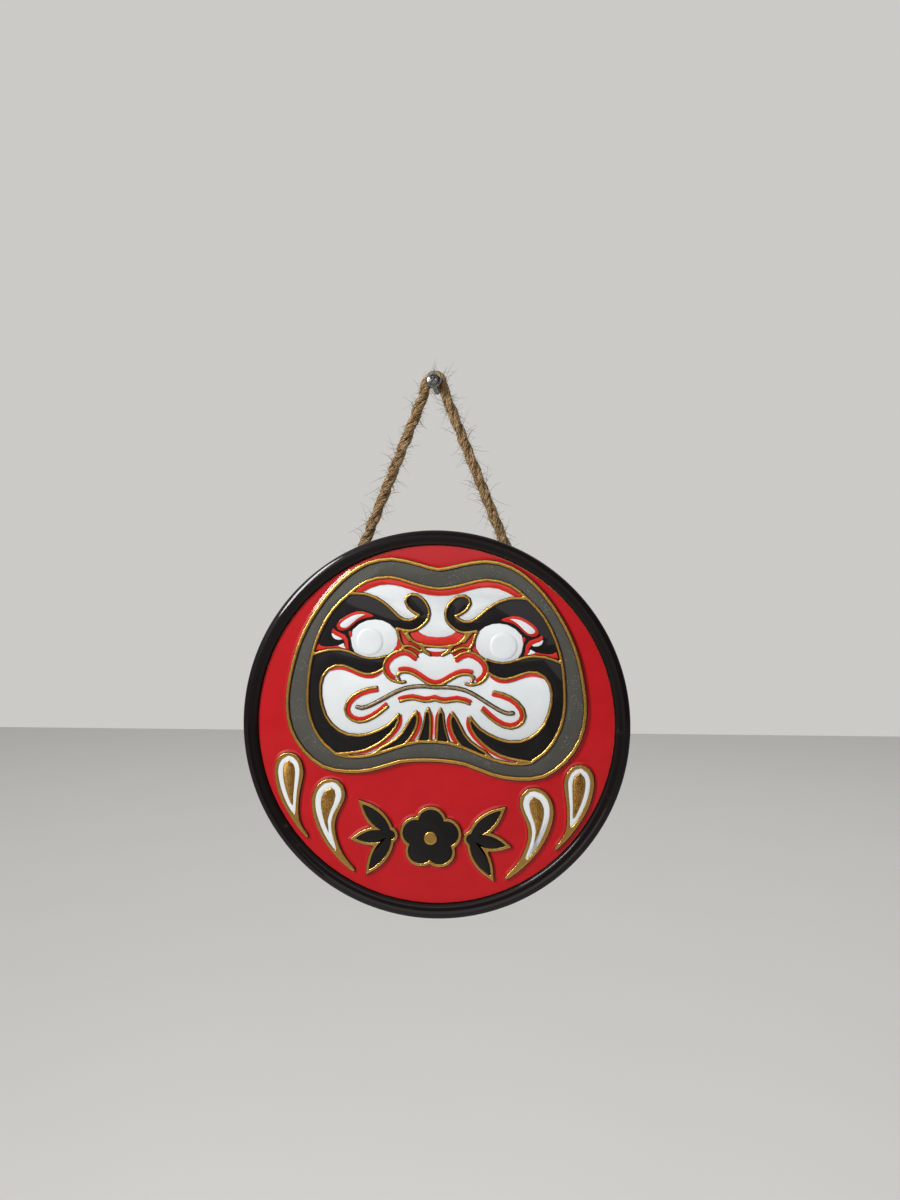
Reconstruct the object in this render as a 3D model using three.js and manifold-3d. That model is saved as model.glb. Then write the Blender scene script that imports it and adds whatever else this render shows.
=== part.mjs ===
// Round wall plaque with a daruma doll's face in relief, hung by a jute rope from a wall screw.
// Millimetres, +Z up. The origin is on the wall, on the axis of the screw; the face looks along -Y.
import * as THREE from 'three';
import { mergeVertices } from 'three/addons/utils/BufferGeometryUtils.js';
import Module from 'manifold-3d';

const wasm = await Module();
wasm.setup();

// ---- driving dimensions ----
const plaqueRadius = 100;
const fieldRadius = 92.4;        // edge of the red field, where the rim begins
const boardRadius = 96;
const boardThickness = 9;
const hangDrop = 179;            // screw axis down to the middle of the plaque
const hangSide = 1;              // and a little to the right of it
const hangTilt = -1.75;          // degrees: the plaque hangs a little off level, right side low
const wallGap = 7;               // wall to the back of the board, filled by the pads
const gap = 0.3;                 // running and assembly gap between neighbouring pieces
const glue = 0.05;               // glue line under each layer of the relief

// heights above the back of the board, towards the viewer
const panelTop = boardThickness + 1.3;
const fillTop = panelTop + 1;
const markTop = fillTop + 0.5;
const lineTop = fillTop + 1.1;
const rimTop = boardThickness + 4;

// widths of the gold lines
const hoodLine = 1.8;
const hemLine = 1.5;
const faceLine = 1.25;
const fineLine = 0.85;

// rope and screw
const ropeRadius = 2.75;
const shankRadius = 1.5;
const ropeBend = shankRadius + gap + ropeRadius;
const ropeY = -(wallGap - gap - ropeRadius);
const liftZ = -(ropeRadius + gap);   // the legs turn here, just under the loop on the screw
const anchor = { spread: 47.3, shift: -2.8, height: 69, tail: 11 };   // saddles, from the middle of the plaque
const saddle = { width: 8, sheet: 0.7, ear: 9 };

const paint = {
  black: [0x1d1a1c, 0.25, 0], red: [0xbe1e24, 0.25, 0], orange: [0xd2372c, 0.3, 0],
  white: [0xe2e6e5, 0.3, 0], grey: [0x52524c, 0.5, 0], gold: [0xc8963c, 0.25, 1],
  wood: [0xb98d5b, 0.7, 0], jute: [0xa07d50, 0.95, 0], rubber: [0x2a2a2a, 0.9, 0],
  steel: [0xb8bcc0, 0.3, 1],
};

const plaque = new THREE.Group();
plaque.position.set(hangSide, -wallGap, -hangDrop);
plaque.rotation.y = THREE.MathUtils.degToRad(-hangTilt);
const face = new THREE.Group();      // outlines lie in X and Y here, and heights along Z
face.rotation.x = Math.PI / 2;
plaque.add(face);

const part = new THREE.Group();
part.add(plaque);

function addPiece(group, name, geometry, finish) {
  const [color, roughness, metalness] = paint[finish];
  const mesh = new THREE.Mesh(geometry, new THREE.MeshStandardMaterial({ color, roughness, metalness }));
  mesh.name = name;
  group.add(mesh);
  return mesh;
}

// ---- solids that are joined or cut ----
function toSolid(geometry) {
  const bare = geometry.clone();
  bare.deleteAttribute('normal');
  bare.deleteAttribute('uv');
  const merged = mergeVertices(bare, 1e-4);
  return new wasm.Manifold(new wasm.Mesh({
    numProp: 3,
    vertProperties: new Float32Array(merged.attributes.position.array),
    triVerts: new Uint32Array(merged.index.array),
  }));
}

function toGeometry(solid) {
  const mesh = solid.getMesh();
  const geometry = new THREE.BufferGeometry();
  geometry.setAttribute('position', new THREE.BufferAttribute(mesh.vertProperties, 3));
  geometry.setIndex(new THREE.BufferAttribute(mesh.triVerts, 1));
  return geometry;
}

const join = (geometries) => toGeometry(geometries.map(toSolid).reduce((whole, next) => whole.add(next)));
const cutAway = (geometry, cutter) => toGeometry(toSolid(geometry).subtract(toSolid(cutter)));

// ---- outlines: lists of [x, y] points on the face ----
// a smooth line through the points, which stay on it, with more between them where they are far apart
function curve(points, closed = false, step = 4) {
  const spline = new THREE.CatmullRomCurve3(points.map(([x, y]) => new THREE.Vector3(x, y, 0)), closed, 'centripetal');
  const spans = closed ? points.length : points.length - 1;
  const traced = [];
  for (let i = 0; i < spans; i += 1) {
    const parts = Math.max(1, Math.round(distance(points[i], points[(i + 1) % points.length]) / step));
    for (let k = 0; k < parts; k += 1) {
      const p = spline.getPoint((i + k / parts) / spans);
      traced.push([p.x, p.y]);
    }
  }
  return closed ? traced : [...traced, points.at(-1)];
}

const mirrored = (points) => points.map(([x, y]) => [-x, y]).reverse();
const backward = (points) => [...points].reverse();
const distance = ([ax, ay], [bx, by]) => Math.hypot(ax - bx, ay - by);

// the stretch of a line between two of its points
function between(line, from, to) {
  const nearest = (place) => line.reduce((best, p, i) => (distance(p, place) < distance(line[best], place) ? i : best), 0);
  const [a, b] = [nearest(from), nearest(to)];
  return a < b ? line.slice(a, b + 1) : backward(line.slice(b, a + 1));
}

// points that fall on top of each other are dropped
function tidy(points) {
  const kept = points.filter((p, i) => i === 0 || distance(p, points[i - 1]) > 0.12);
  return distance(kept[0], kept.at(-1)) > 0.12 ? kept : kept.slice(0, -1);
}

// moves a line sideways: to its left for a positive distance
function shifted(points, offset, closed = false) {
  const count = points.length;
  const width = typeof offset === 'function' ? offset : () => offset;
  return points.map(([x, y], i) => {
    const before = points[closed ? (i + count - 1) % count : Math.max(i - 1, 0)];
    const after = points[closed ? (i + 1) % count : Math.min(i + 1, count - 1)];
    const into = new THREE.Vector2(x - before[0], y - before[1]).normalize();
    const out = new THREE.Vector2(after[0] - x, after[1] - y).normalize();
    const along = into.clone().add(out).normalize();
    const stretch = 1 / Math.max(0.5, Math.abs(along.dot(into.lengthSq() ? into : out)));
    const d = width(i / (count - 1)) * stretch;
    return [x - along.y * d, y + along.x * d];
  });
}

const area = (points) => THREE.ShapeUtils.area(points.map(([x, y]) => new THREE.Vector2(x, y)));
const shrunk = (points, by) => shifted(points, area(points) > 0 ? by : -by, true);

// ---- slabs and lines on the face ----
function slab(outline, bottom, top, holes = []) {
  const shape = new THREE.Shape(outline.map(([x, y]) => new THREE.Vector2(x, y)));
  shape.holes = holes.map((hole) => new THREE.Path(hole.map(([x, y]) => new THREE.Vector2(x, y))));
  const geometry = new THREE.ExtrudeGeometry(shape, { depth: top - bottom, bevelEnabled: false });
  return geometry.translate(0, 0, bottom);
}

// a line of the given width along an open run of points, with round ends
function bead(points, width, bottom = fillTop + glue, top = lineTop) {
  const half = (t) => (typeof width === 'function' ? width(t) : width) / 2;
  const left = shifted(points, half);
  const right = shifted(points, (t) => -half(t));
  const cap = (centre, from) => [1, 2, 3].map((k) => {
    const turned = new THREE.Vector2(from[0] - centre[0], from[1] - centre[1]);
    turned.rotateAround(new THREE.Vector2(), -k * Math.PI / 4);
    return [centre[0] + turned.x, centre[1] + turned.y];
  });
  const outline = [...left, ...cap(points.at(-1), left.at(-1)), ...backward(right), ...cap(points[0], right[0])];
  return slab(outline, bottom, top);
}

// the same along a closed run
function ringBead(points, width, bottom = fillTop + glue, top = lineTop) {
  const turn = Math.sign(area(points));
  return slab(shifted(points, -turn * width / 2, true), bottom, top, [shifted(points, turn * width / 2, true)]);
}

// a fill ends half a gap short of its outline, under the middle of the gold line
const fill = (outline, bottom = panelTop + glue, top = fillTop) => slab(shrunk(tidy(outline), gap / 2), bottom, top);
const mark = (outline) => slab(tidy(outline), fillTop + glue, markTop);

const roundShape = (x, y, radius, count = 20) => Array.from({ length: count }, (_, i) => {
  const angle = 2 * Math.PI * i / count;
  return [x + radius * Math.cos(angle), y + radius * Math.sin(angle)];
});

const whole = (half) => tidy([...half, ...mirrored(half)]);
const pair = (build) => {
  build('left', (points) => points);
  build('right', mirrored);
};

// ---- hood ----
const hoodOuterHalf = [
  [0, 79.7], [-10, 81.9], [-24, 84.5], [-37, 81.8], [-50, 72.7], [-62, 58], [-70.7, 41.2], [-75.4, 23.5],
  [-76.9, 8], [-74.4, -5.2], [-67.5, -16], [-57, -24], [-44, -26], [-31, -24.4], [-17, -19.7], [0, -18.2],
];
const hoodInnerHalf = [
  [0, 69.8], [-10, 71.4], [-25, 75.1], [-37, 72.6], [-46, 65.9], [-54.5, 57.1], [-61, 45.1], [-64.4, 33.8],
  [-66.2, 18], [-65.8, 6], [-62, -5], [-56.5, -12.4], [-50.5, -17.2], [-41, -18.4], [-31, -16.7], [-22, -13.6],
  [-15, -11], [-8.2, -9.2], [0, -8.7],
];
const hoodOuter = curve([...hoodOuterHalf, ...mirrored(hoodOuterHalf.slice(1, -1))], true, 6);
const hoodInner = curve([...hoodInnerHalf, ...mirrored(hoodInnerHalf.slice(1, -1))], true, 6);

addPiece(face, 'hood_line', ringBead(hoodOuter, hoodLine, panelTop + glue), 'gold');
addPiece(face, 'hood_band', slab(
  shrunk(hoodOuter, hoodLine / 2 + gap / 2),
  panelTop + glue,
  fillTop,
  [shrunk(hoodInner, -gap / 2)],
), 'grey');

// ---- lines of the left half of the face ----
const browFoot = [-46, 65.9];
const wingTop = [-25.8, 32.6];
const cheekStart = [-26.9, 27.8];
const lidEnd = [-25.9, 34.4];
const cheekFoot = [-64.4, 33.8];
const jawCorner = [-50.5, -17.2];
const outerWedgeFoot = [-31, -16.7];
const outerWedgeHeel = [-15, -11];
const innerWedgeFoot = [-8.2, -9.2];
const eyeCorner = [-41.8, 34.7];
const eyeTop = [-32, 53];
const eyeInner = [-21.2, 47.9];
const browTip = [-9.3, 56.1];
const browEnd = [-20.8, 48.8];
const bridgeTop = [-10.6, 48.6];

const browTop = curve([
  browFoot, [-42, 66.2], [-37.5, 66], [-32, 64.2], [-25.5, 60], [-20, 54.9], [-17, 53.3], [-14, 53.2],
  [-11.3, 54.3], browTip,
]);
const swirl = curve([
  browTip, [-12.3, 57.5], [-15.2, 59.9], [-16.7, 62.7], [-16.1, 65.1], [-13.8, 66.5], [-10.6, 66.2],
  [-7.4, 63.9], [-5, 60.4], [-4.2, 57], [-4.8, 53.9], [-7.2, 51], [-10.6, 48.6], [-14, 47.8], [-17.5, 48.2],
  browEnd,
], false, 2.2);
const lowerLash = curve([cheekFoot, [-60, 35.4], [-55.5, 36.6], [-50, 36.9], [-45.5, 36.1], eyeCorner]);
const lidLine = curve([eyeCorner, [-38, 33.3], [-34, 32.7], [-30, 33.1], lidEnd]);
const eyeOutline = curve([
  eyeTop, [-36.2, 52.4], [-40.3, 50.4], [-43.7, 47.2], [-44.6, 43], [-43.8, 38.7], eyeCorner, [-38, 33.3],
  [-34, 32.7], [-30, 33.1], lidEnd, [-22.7, 36.5], [-20.6, 39.7], [-20, 43.6], eyeInner,
  [-24.5, 50.9], [-28.2, 52.5],
], true);
const noseWing = curve([
  [-9.8, 34.7], [-13, 37], [-16.5, 38], [-20, 37.1], [-23.3, 35.2], wingTop, [-26.9, 30.2], cheekStart,
  [-26.1, 25.5], [-24.7, 23.6], [-22.4, 22], [-19.2, 21.2],
], false, 4);
const nostril = curve([[-19.2, 21.2], [-18.7, 22.9], [-19.9, 24.7]], false, 1);
const noseBase = curve([
  [-19.9, 24.7], [-18.2, 26.2], [-14.5, 26.5], [-11, 25.4], [-7, 23], [-3.6, 21], [0, 20.1],
], false, 2);
const cheekLine = curve([
  cheekStart, [-30, 26], [-33, 24.9], [-36.2, 24.7], [-40, 25.7], [-44, 27.4], [-48, 28.7], [-52, 28.6],
  [-56, 26.4], [-58.6, 22.8], [-59.7, 18.3], [-59.6, 13], [-58.5, 7.8], [-56.4, 2.2], [-53.2, -2],
  [-49.3, -5], [-44.7, -6.9], [-39, -7.3], [-33, -6], [-28, -3.9], [-23.6, -1.2], [-20.8, 1.6], [-18.5, 4.6],
]);
const outerLock = curve([
  [-18.5, 4.6], [-18.4, 1.4], [-19.8, -2], [-22.4, -5.7], [-26, -9.1], [-30, -12], [-34.5, -14.3],
  [-39, -15.6], [-44, -16.4], jawCorner,
]);
const wedgeOutside = curve([
  [-9.3, 6.4], [-11.5, 3.4], [-13.7, -0.5], [-16, -4.7], [-19, -8], [-23, -10.8], [-27, -13.2], outerWedgeFoot,
]);
const wedgeInside = curve([
  [-9.3, 6.4], [-8.5, 3], [-8.9, -0.5], [-10.2, -4.2], [-12.4, -7.9], outerWedgeHeel,
]);
const tuftOutside = curve([[-3.2, 8.2], [-4.5, 5.8], [-4.9, 2.6], [-5.6, -1.2], [-6.7, -5], innerWedgeFoot]);
const tuftInside = curve([[-3.2, 8.2], [-2.2, 5.4], [-1.9, 2], [-1.8, -3], [-1.8, -8.8]]);
const whiskers = curve([
  [0, 19.2], [-5, 19.5], [-10.5, 19.2], [-15.5, 18.2], [-20.5, 16], [-26, 12.8], [-31, 9.9], [-35.5, 7.7],
  [-38, 7.1], [-40.2, 7.5],
], false, 2.4);
const bridgeEdge = curve([bridgeTop, [-7.8, 46.3], [-4.5, 45.1], [0, 44.8]]);
const noseTop = curve([[-9.8, 34.7], [-8.7, 35.7], [-7.8, 37.3], [-5.5, 36], [-2.8, 35], [0, 34.8]], false, 2);

// short gold lines between the eyes: line and width
const bridgeLines = [
  [[browEnd, [-19.7, 46], [-19, 43.3], [-18.3, 41.2], [-17, 39.7]], 1.3],
  [[[-18.2, 48.2], [-16.3, 45.7], [-14.1, 42.9]], 1.3],
  [[[-15.3, 47.8], [-14.4, 45], [-12.3, 42.6], [-9.4, 41.2], [-5, 40.3], [0, 40]], 1.3],
  [[[-17, 39.7], [-14.2, 40.1], [-11, 39.1], [-8.2, 37.3]], 1.2],
  [[[-17, 39.7], [-18.1, 37.7]], 1.3],
  [[[-7.6, 40.6], [-6.5, 38.2], [-3, 35.6]], (t) => 2.6 - 1.6 * t],
  [[[-19.2, 21.2], [-17.4, 21.1], [-15.7, 21.5]], 1.3],
].map(([points, width]) => [curve(points, false, 2.2), width]);

const halfLines = [
  [browTop, faceLine], [swirl, faceLine], [lowerLash, faceLine], [lidLine, fineLine], [noseWing, faceLine],
  [nostril, fineLine], [noseBase, 1.3], [cheekLine, faceLine], [outerLock, faceLine], [wedgeOutside, faceLine],
  [wedgeInside, faceLine], [tuftOutside, fineLine], [tuftInside, faceLine], [whiskers, 1.8], ...bridgeLines,
];
addPiece(face, 'face_lines', join([
  ringBead(hoodInner, hemLine),
  ...halfLines.flatMap(([line, width]) => [bead(line, width), bead(line.map(([x, y]) => [-x, y]), width)]),
]), 'gold');

// ---- coloured fills of the face, one level, parted under the lines ----
addPiece(face, 'forehead', fill(whole([
  ...between(hoodInner, [0, 69.8], browFoot),
  ...browTop,
  ...between(swirl, browTip, bridgeTop),
  ...bridgeEdge,
])), 'white');
addPiece(face, 'bridge', fill(whole([
  ...backward(bridgeEdge),
  ...between(swirl, bridgeTop, browEnd),
  ...between(eyeOutline, eyeInner, lidEnd),
  ...between(noseWing, wingTop, [-9.8, 34.7]),
  ...noseTop,
])), 'orange');
addPiece(face, 'nose', fill(whole([...backward(noseTop), ...noseWing, ...nostril, ...noseBase])), 'white');
addPiece(face, 'muzzle', fill(whole([
  ...backward(noseBase),
  ...backward(nostril),
  ...between(noseWing, [-19.2, 21.2], cheekStart),
  ...cheekLine,
  ...outerLock,
  ...between(hoodInner, jawCorner, outerWedgeFoot),
  ...backward(wedgeOutside),
  ...wedgeInside,
  ...between(hoodInner, outerWedgeHeel, innerWedgeFoot),
  ...backward(tuftOutside),
  ...tuftInside,
  [0, -8.7],
])), 'white');

const eyeDisc = { x: -34.6, y: 41.5, radius: 7.2 };
pair((side, placed) => {
  addPiece(face, `brow_${side}`, fill(placed([
    ...between(hoodInner, browFoot, cheekFoot),
    ...lowerLash,
    ...backward(between(eyeOutline, eyeTop, eyeCorner)),
    ...backward(between(eyeOutline, eyeInner, eyeOutline.at(-1))),
    ...backward(swirl),
    ...backward(browTop),
  ])), 'black');
  addPiece(face, `eye_${side}`, join([
    fill(placed(eyeOutline)),
    slab(placed(roundShape(eyeDisc.x, eyeDisc.y, eyeDisc.radius, 28)), fillTop - 0.5, fillTop + 0.5),
  ]), 'white');
  addPiece(face, `cheek_band_${side}`, fill(placed([
    ...between(hoodInner, cheekFoot, jawCorner),
    ...backward(outerLock),
    ...backward(cheekLine),
    ...between(noseWing, cheekStart, wingTop),
    ...backward(lidLine),
    ...backward(lowerLash),
  ])), 'black');
  addPiece(face, `beard_wedge_${side}`, fill(placed([
    ...wedgeOutside,
    ...between(hoodInner, outerWedgeFoot, outerWedgeHeel),
    ...backward(wedgeInside),
  ])), 'black');
  addPiece(face, `beard_tuft_${side}`, fill(placed([
    ...tuftOutside,
    [-1.8, -8.8],
    ...backward(tuftInside),
  ])), 'black');
});

// ---- coloured stripes and marks, laid on the fills ----
const hoodInside = shifted(hoodInner, hemLine / 2 + gap, true);
addPiece(face, 'forehead_stripe', mark(whole([
  ...between(hoodInside, [0, 69], [-43.4, 67.3]),
  ...curve([
    [-39.5, 67], [-35, 69.3], [-30.5, 70.9], [-26, 71.4], [-20, 70.7], [-15, 69.3], [-10, 67.6], [-5, 66.6],
    [0, 66.3],
  ]),
])), 'orange');

// a stripe runs beside a line, on its left side
const stripeBeside = (line, lineWidth, width) => bead(
  shifted(line, lineWidth / 2 + gap / 2 + width / 2),
  width,
  fillTop + glue,
  markTop,
);
addPiece(face, 'nostril_stripe', stripeBeside(whole(noseBase.slice(1)), 1.3, 1.8), 'orange');

const mouthLine = whole(curve([
  [-17.8, 11.3], [-15.5, 12.2], [-11.5, 12.9], [-8.5, 12.4], [-5.5, 11.8], [-2.5, 12.1], [0, 12.9],
]));
addPiece(face, 'mouth_line', bead(mouthLine, faceLine), 'gold');
addPiece(face, 'mouth_stripe', stripeBeside(mouthLine, faceLine, 1.5), 'orange');

const cheekHook = curve([
  [-30.2, 18], [-34.5, 17.2], [-39, 15.5], [-42.6, 13.1], [-45.4, 9.8], [-46.4, 6.3], [-45.4, 3], [-42.8, 0.8],
  [-39.3, -0.2], [-35.5, 0.4], [-31.5, 2.4], [-28, 5], [-24.2, 8.4],
]);
const lidMark = curve([
  [-33, 54.7], [-36, 56.2], [-39, 56.9], [-42, 56.7], [-45, 55.5], [-48.5, 53.4], [-51.2, 51], [-52.1, 48.9],
  [-51.2, 47.2], [-49, 46.8], [-46.5, 47.5], [-44.3, 49.2], [-42, 51.4], [-39.4, 53.1], [-36.4, 53.9],
], true, 2.2);
const cornerMark = [
  [-62.4, 36.2], [-61.3, 39.3], [-60, 38.3], [-57.5, 37.9], [-54, 38.2], [-51.5, 38.7], [-49.5, 38.6],
  [-47.3, 38.2], [-47.3, 40.2], [-48.3, 42.1], [-50.5, 43.4], [-52.8, 44.3], [-54.5, 45.9], [-53.9, 47.6],
  [-52.2, 46.3], [-50, 45.4], [-47.7, 44.5], [-46, 42], [-45.7, 38.5], [-45.2, 37], [-48, 37.5], [-52, 37.8],
  [-56, 37.5], [-59.5, 36.6],
];
pair((side, placed) => {
  const noseStripe = between(shifted(noseWing, 1.75), [-11.3, 33.6], [-21.8, 23.6]);
  addPiece(face, `nose_stripe_${side}`, bead(placed(noseStripe), 1.9, fillTop + glue, markTop), 'orange');
  addPiece(face, `hook_line_${side}`, bead(placed(cheekHook), faceLine), 'gold');
  const hookStripe = shifted(cheekHook, faceLine / 2 + gap / 2 + 0.8);
  addPiece(face, `hook_stripe_${side}`, bead(placed(hookStripe), 1.6, fillTop + glue, markTop), 'orange');
  addPiece(face, `lid_mark_${side}`, mark(placed(lidMark)), 'orange');
  addPiece(face, `corner_mark_${side}`, mark(placed(cornerMark)), 'orange');
});

// ---- teardrops under the face: a gold casting with a channel filled with white ----
const drops = {
  outer: {
    edge: [
      [-75.5, -17.6], [-80, -19.3], [-82.4, -24], [-82.3, -30], [-80.6, -37.5], [-77.6, -44.2], [-74, -50],
      [-70.5, -54.8], [-67, -58.8], [-64.3, -61.5], [-63.6, -60.6], [-66.3, -56.8], [-68.7, -52], [-69.3, -46],
      [-69, -39], [-68, -33], [-67.2, -27.5], [-68.4, -22.5], [-71.2, -18.8],
    ],
    enamel: [
      [-75.5, -19.3], [-78.7, -21.3], [-80.5, -25.5], [-80.3, -30.5], [-78.8, -36.5], [-76.3, -42.5],
      [-73.5, -47.3], [-71.2, -49.8], [-70.8, -45], [-70.4, -38], [-69.6, -31], [-69.4, -26], [-70.8, -22],
      [-73, -19.9],
    ],
    core: [
      [-75.4, -21.6], [-77.6, -24], [-78, -28.5], [-77.1, -34], [-75.4, -39.3], [-73.5, -43.8], [-72.4, -45.2],
      [-72.3, -40], [-71.9, -33], [-71.7, -27.5], [-72.8, -23.4],
    ],
  },
  inner: {
    edge: [
      [-52.5, -30.2], [-57, -31.5], [-60.9, -35.5], [-62.5, -41], [-62, -47.5], [-59.9, -54], [-56.8, -60.2],
      [-53.2, -65.3], [-48.8, -70.3], [-44, -74.6], [-39.3, -77.7], [-38.7, -76.8], [-42, -73], [-45.3, -68.5],
      [-47.8, -63.5], [-49.5, -58], [-49.8, -53], [-48.7, -48], [-46.3, -43], [-44.9, -38.5], [-46.2, -33.6],
      [-49, -30.9],
    ],
    enamel: [
      [-52.4, -31.9], [-56, -33], [-59.2, -36.3], [-60.6, -41], [-60.1, -47], [-58.2, -53], [-55.4, -59],
      [-52.3, -63.7], [-49, -67.4], [-48.9, -66], [-50.2, -62], [-51.4, -57.5], [-51.8, -52.8], [-50.6, -48],
      [-48.2, -43.3], [-46.8, -38.8], [-47.8, -34.7], [-50, -32.5],
    ],
    core: [
      [-52.3, -35], [-55.1, -36.4], [-57.3, -40.3], [-57.2, -46], [-55.7, -52], [-54, -56.6], [-53, -58.4],
      [-53.4, -55], [-53.9, -52.3], [-52.8, -47.5], [-50.9, -42.7], [-50.1, -38.6], [-50.8, -35.9],
    ],
  },
};
const channelDepth = 1;
for (const [place, shapes] of Object.entries(drops)) {
  pair((side, placed) => {
    const [edge, enamel, core] = [shapes.edge, shapes.enamel, shapes.core]
      .map((points) => placed(curve(points, true, 2.8)));
    addPiece(face, `${place}_drop_gold_${side}`, cutAway(
      slab(edge, panelTop + glue, fillTop + 0.6),
      slab(enamel, fillTop + 0.6 - channelDepth, fillTop + 1, [core]),
    ), 'gold');
    addPiece(face, `${place}_drop_enamel_${side}`, slab(
      shrunk(enamel, gap / 2),
      fillTop + 0.6 - channelDepth + glue,
      fillTop + 0.2,
      [shrunk(core, -gap / 2)],
    ), 'white');
  });
}

// ---- plum blossom and leaf sprigs on the lower field ----
const blossom = { x: 0, y: -58.5, petalReach: 8.2, petal: 6.6, heart: 3.4 };
const leafShape = ([ax, ay], [bx, by], width) => {
  const [dx, dy] = [bx - ax, by - ay];
  const reach = Math.hypot(dx, dy);
  const bow = (side) => [ax + dx * 0.45 - dy / reach * side, ay + dy * 0.45 + dx / reach * side];
  const edge = (from, over, to) => new THREE.QuadraticBezierCurve(
    new THREE.Vector2(...from),
    new THREE.Vector2(...over),
    new THREE.Vector2(...to),
  ).getPoints(8).map((p) => [p.x, p.y]);
  return tidy([...edge([ax, ay], bow(-width), [bx, by]), ...edge([bx, by], bow(width), [ax, ay])]);
};
const petals = Array.from({ length: 5 }, (_, i) => {
  const angle = Math.PI / 2 + i * 2 * Math.PI / 5;
  return roundShape(blossom.x + blossom.petalReach * Math.cos(angle), blossom.y + blossom.petalReach * Math.sin(angle),
    blossom.petal);
});
petals.push(roundShape(blossom.x, blossom.y, blossom.petal));
const sprig = [
  leafShape([-20.2, -57.5], [-36, -42.5], 6.5),
  leafShape([-20.2, -57.5], [-39, -60.5], 6.5),
  leafShape([-20.2, -57.5], [-31.5, -76.5], 6.5),
  roundShape(-21, -57.8, 2.6, 12),
];
const stacked = (outlines, grow, bottom, top) => join(outlines.map((points) => slab(shrunk(points, -grow), bottom, top)));
const outlined = (outlines) => cutAway(
  stacked(outlines, hemLine, panelTop + glue, fillTop + 0.6),
  stacked(outlines, 0, panelTop - 1, fillTop + 1),
);
addPiece(face, 'blossom_line', outlined(petals), 'gold');
addPiece(face, 'blossom_petals', stacked(petals, -gap, panelTop + glue, fillTop), 'black');
addPiece(face, 'blossom_heart', slab(roundShape(blossom.x, blossom.y, blossom.heart), fillTop + glue, lineTop), 'gold');
pair((side, placed) => {
  const leaves = sprig.map(placed);
  addPiece(face, `sprig_line_${side}`, outlined(leaves), 'gold');
  addPiece(face, `sprig_leaves_${side}`, stacked(leaves, -gap, panelTop + glue, fillTop), 'black');
});

// ---- turned pieces: profiles are [radius, height] ----
function turned(profile, segments = 72) {
  const geometry = new THREE.LatheGeometry(profile.map(([r, h]) => new THREE.Vector2(r, h)), segments);
  return geometry.rotateX(Math.PI / 2);
}
const rod = (radius, bottom, top, segments = 16) => turned([[0, bottom], [radius, bottom], [radius, top], [0, top]], segments);

// ---- board, rim and red field ----
const padPlaces = [[-52, -60], [52, -60]];
const padRadius = 6.4;
const rimProfile = [
  [boardRadius + gap, 0], [98.8, 0], [plaqueRadius, 1.2], [plaqueRadius, boardThickness],
  [98.8, rimTop - 1.6], [96.2, rimTop], [94, rimTop - 0.5], [fieldRadius, rimTop - 2.4],
  [fieldRadius, boardThickness + glue], [boardRadius + gap, boardThickness + glue], [boardRadius + gap, 0],
];
const boardDisc = turned([
  [0, 0], [boardRadius, 0], [boardRadius, boardThickness], [0, boardThickness],
]);

// ---- back: saddles over the rope ends, their screws and the wall pads ----
const saddleReach = ropeRadius + 0.15;                       // inside radius of the arch
const saddleScrew = { head: 3.2, headHeight: 1.6, shank: 1.4, length: 7 };
const backOfBoard = -glue;
const anchorAt = (side) => new THREE.Vector2(anchor.shift + side * anchor.spread, anchor.height);
const onWall = (place) => place.clone()
  .rotateAround(new THREE.Vector2(), THREE.MathUtils.degToRad(hangTilt))
  .add(new THREE.Vector2(hangSide, -hangDrop));

const legs = [['left', -1], ['right', 1]].map(([name, side]) => {
  const start = new THREE.Vector2(side * ropeBend, liftZ);
  const held = onWall(anchorAt(side));
  const along = held.clone().sub(start).normalize();
  return { name, side, start, along, length: held.distanceTo(start) + anchor.tail };
});

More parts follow.
